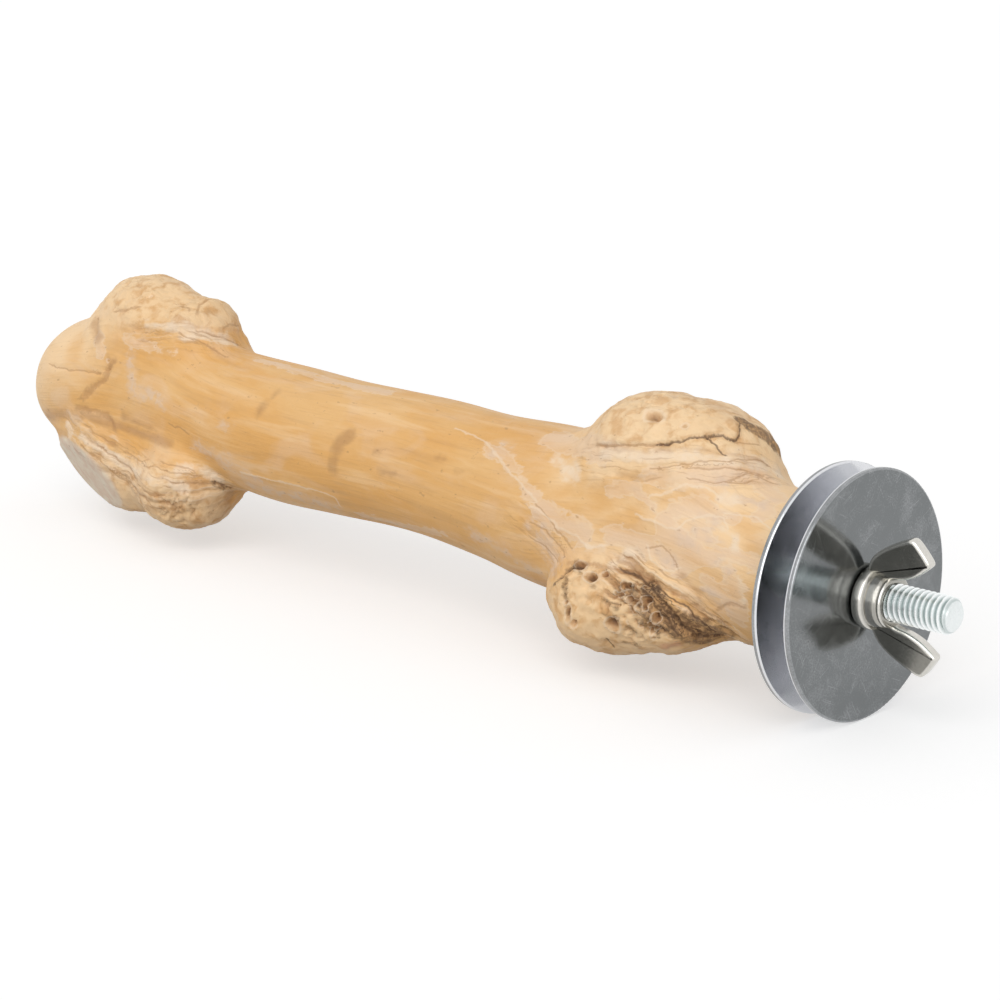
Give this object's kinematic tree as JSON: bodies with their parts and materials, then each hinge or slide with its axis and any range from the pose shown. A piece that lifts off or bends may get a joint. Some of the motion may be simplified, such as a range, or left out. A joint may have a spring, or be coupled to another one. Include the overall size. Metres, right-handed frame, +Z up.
{
  "type": "bird perch",
  "caption": "Bolt-on bird perch: a natural hardwood branch with rounded knots, held to a cage wall by a hanger bolt, two clamp discs and a wing nut.",
  "frame": {"origin": "centre of the inner disc's clamping face, on the bolt's axis, where the cage wall lies", "axes": "+X out along the bolt through the cage wall, branch towards -X, +Z up"},
  "size_m": [0.221, 0.04, 0.0496],
  "materials": {
    "wood": "bare smooth hardwood with patches of pale bark film",
    "zinc_steel": "bright zinc plate",
    "disc_steel": "polished steel with fine scratches",
    "nickel": "bright nickel plate"
  },
  "bodies": {
    "perch": {"branch": "wood", "hanger_bolt": "zinc_steel"},
    "inner_clamp": {"inner_disc": "disc_steel"},
    "outer_clamp": {"outer_disc": "disc_steel"},
    "nut": {"wing_nut": "nickel"}
  },
  "joints": [
    {"name": "inner_disc_spin", "type": "hinge", "parent": "perch", "child": "inner_clamp", "pos_m": [-0.0005, 0, 0], "axis": [1, 0, 0], "continuous": true},
    {"name": "outer_disc_slide", "type": "slide", "parent": "perch", "child": "outer_clamp", "axis": [1, 0, 0], "range_m": [-0.00495, 0.00905]},
    {"name": "wing_nut_turn", "type": "hinge", "parent": "outer_clamp", "child": "nut", "pos_m": [0.00605, 0, 0], "axis": [1, 0, 0], "range_deg": [-1764, 3240]}
  ],
  "couplings": [
    {"joint": "outer_disc_slide", "follows": "wing_nut_turn", "m_per_rad": 0.00015915}
  ]
}
